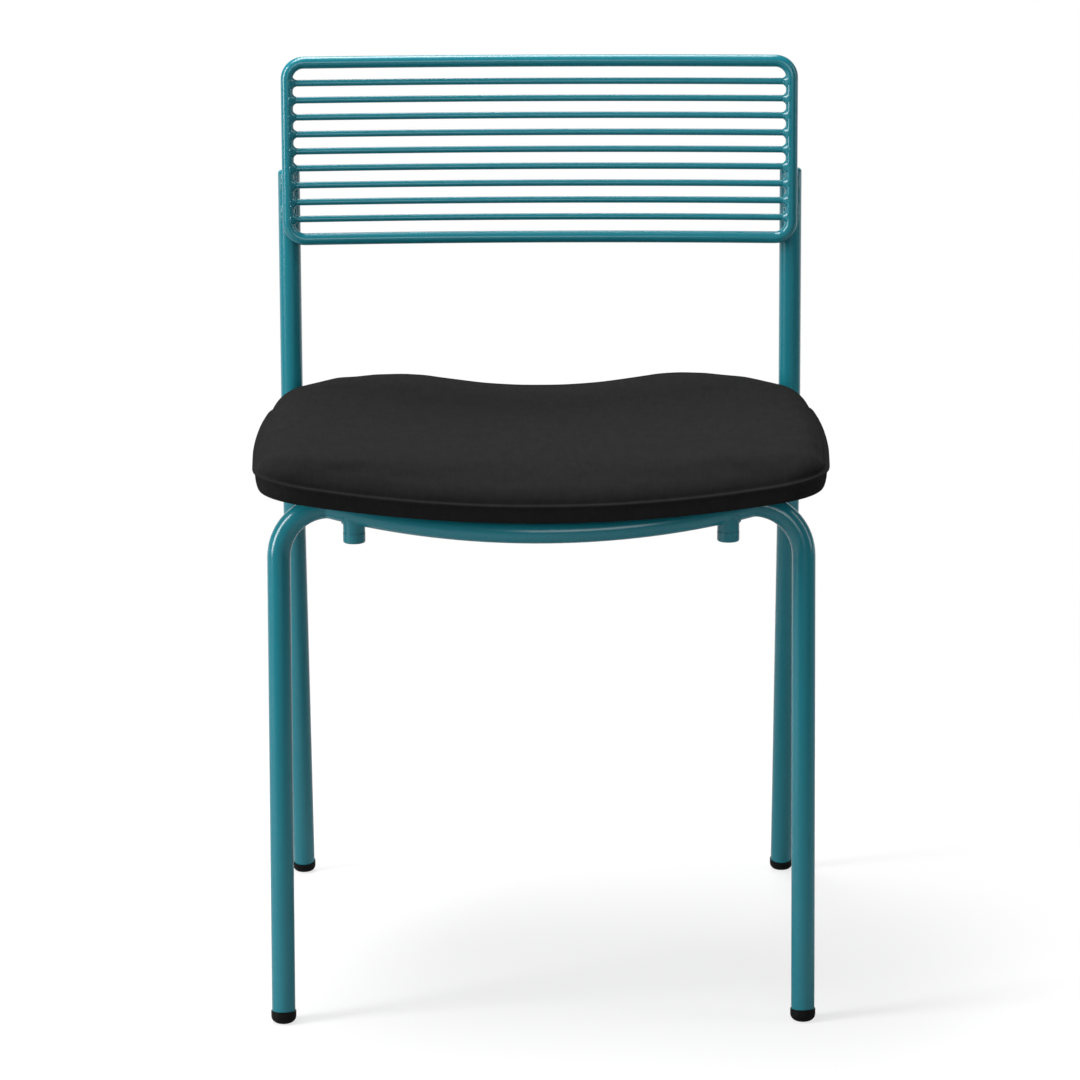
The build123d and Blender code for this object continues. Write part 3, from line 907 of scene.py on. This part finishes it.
def soft_ramp(value, first, last, low=0.0, high=1.0):
    """Eased rise from a low to a high level between two readings of a value."""
    sockets = {"Value": value, "From Min": first, "From Max": last, "To Min": low, "To Max": high}
    settings = {"interpolation_type": "SMOOTHSTEP", "clamp": True}
    return value.node("ShaderNodeMapRange", settings, sockets)


def seen_rays(start, behind):
    """One for rays that look at the paper: straight ones, and behind the chair those that a
    surface mirrors or glass lets through."""
    kinds = ["Is Camera Ray", "Is Glossy Ray", "Is Transmission Ray"]
    rays = [start.node("ShaderNodeLightPath", {}, {}, out=kind) for kind in kinds]
    camera, glossy, through = rays
    bent = glossy.maths("MAXIMUM", glossy, through)
    return camera.maths("MAXIMUM", camera, bent * behind)


far = soft_ramp(distance, *FLOOR_FADE, *FLOOR_GLOW)
seen = seen_rays(start, soft_ramp(parts_of(place)[1], *MIRRORED_FLOOR))
paint = mix_colour(seen, FLOOR_BOUNCE, FLOOR_PALE)
matt = start.node("ShaderNodeBsdfDiffuse", {}, {"Color": paint})
white = start.node("ShaderNodeEmission", {}, {"Color": WHITE, "Strength": PAPER_LIGHT})
shade = start.node("ShaderNodeMixShader", {}, {0: seen * far, 1: matt, 2: white})
output = floor_tree.nodes.new("ShaderNodeOutputMaterial")
floor_tree.links.new(shade.socket, output.inputs["Surface"])
floor_mesh.materials.append(floor_paint)

world = bpy.data.worlds.new("studio")
world.use_nodes = True
bpy.context.scene.world = world
world_tree = world.node_tree
world_tree.nodes.clear()
start = Socket(world_tree)
room = start.node("ShaderNodeBackground", {}, {"Color": WHITE, "Strength": ROOM_LIGHT})
paper = start.node("ShaderNodeBackground", {}, {"Color": WHITE, "Strength": PAPER_LIGHT})
direction = start.node("ShaderNodeTexCoord", {}, {}, out="Generated")
seen = seen_rays(start, soft_ramp(parts_of(direction)[1], *MIRRORED_SKY))
sky = start.node("ShaderNodeMixShader", {}, {0: seen, 1: room, 2: paper})
world_output = world_tree.nodes.new("ShaderNodeOutputWorld")
world_tree.links.new(sky.socket, world_output.inputs["Surface"])


def soft_box(name, place, aim, size, power):
    lamp = bpy.data.lights.new(name, "AREA")
    lamp.shape = "RECTANGLE"
    lamp.size, lamp.size_y = size
    lamp.energy = power
    box = bpy.data.objects.new(name, lamp)
    box.location = place
    box.rotation_euler = (Vector(aim) - Vector(place)).to_track_quat("-Z", "Y").to_euler()
    bpy.context.scene.collection.objects.link(box)


soft_box("key_left", place=(-2.6, -1.0, 1.5), aim=CHAIR_MIDDLE, size=(0.8, 2.2), power=92)
soft_box("fill_right", place=(2.6, -0.4, 1.5), aim=CHAIR_MIDDLE, size=(0.8, 2.2), power=16)
soft_box("overhead", place=(-0.4, 0.3, 2.5), aim=(0, 0.1, 0.6), size=(2.2, 0.80), power=72)
soft_box("front", place=(0.6, -3.2, 1.3), aim=CHAIR_MIDDLE, size=(1.8, 1.0), power=22)

lens = bpy.data.cameras.new("camera")
lens.lens = CAMERA_LENS
lens.clip_end = CAMERA_REACH
camera = bpy.data.objects.new("camera", lens)
camera.matrix_world = (
    Matrix.Translation(CAMERA_PLACE)
    @ Matrix.Rotation(CAMERA_YAW, 4, "Z")
    @ Matrix.Rotation(CAMERA_PITCH, 4, "X")
    @ Matrix.Rotation(CAMERA_ROLL, 4, "Z")
)
bpy.context.scene.collection.objects.link(camera)
bpy.context.scene.camera = camera
bpy.context.scene.view_settings.view_transform = "Standard"
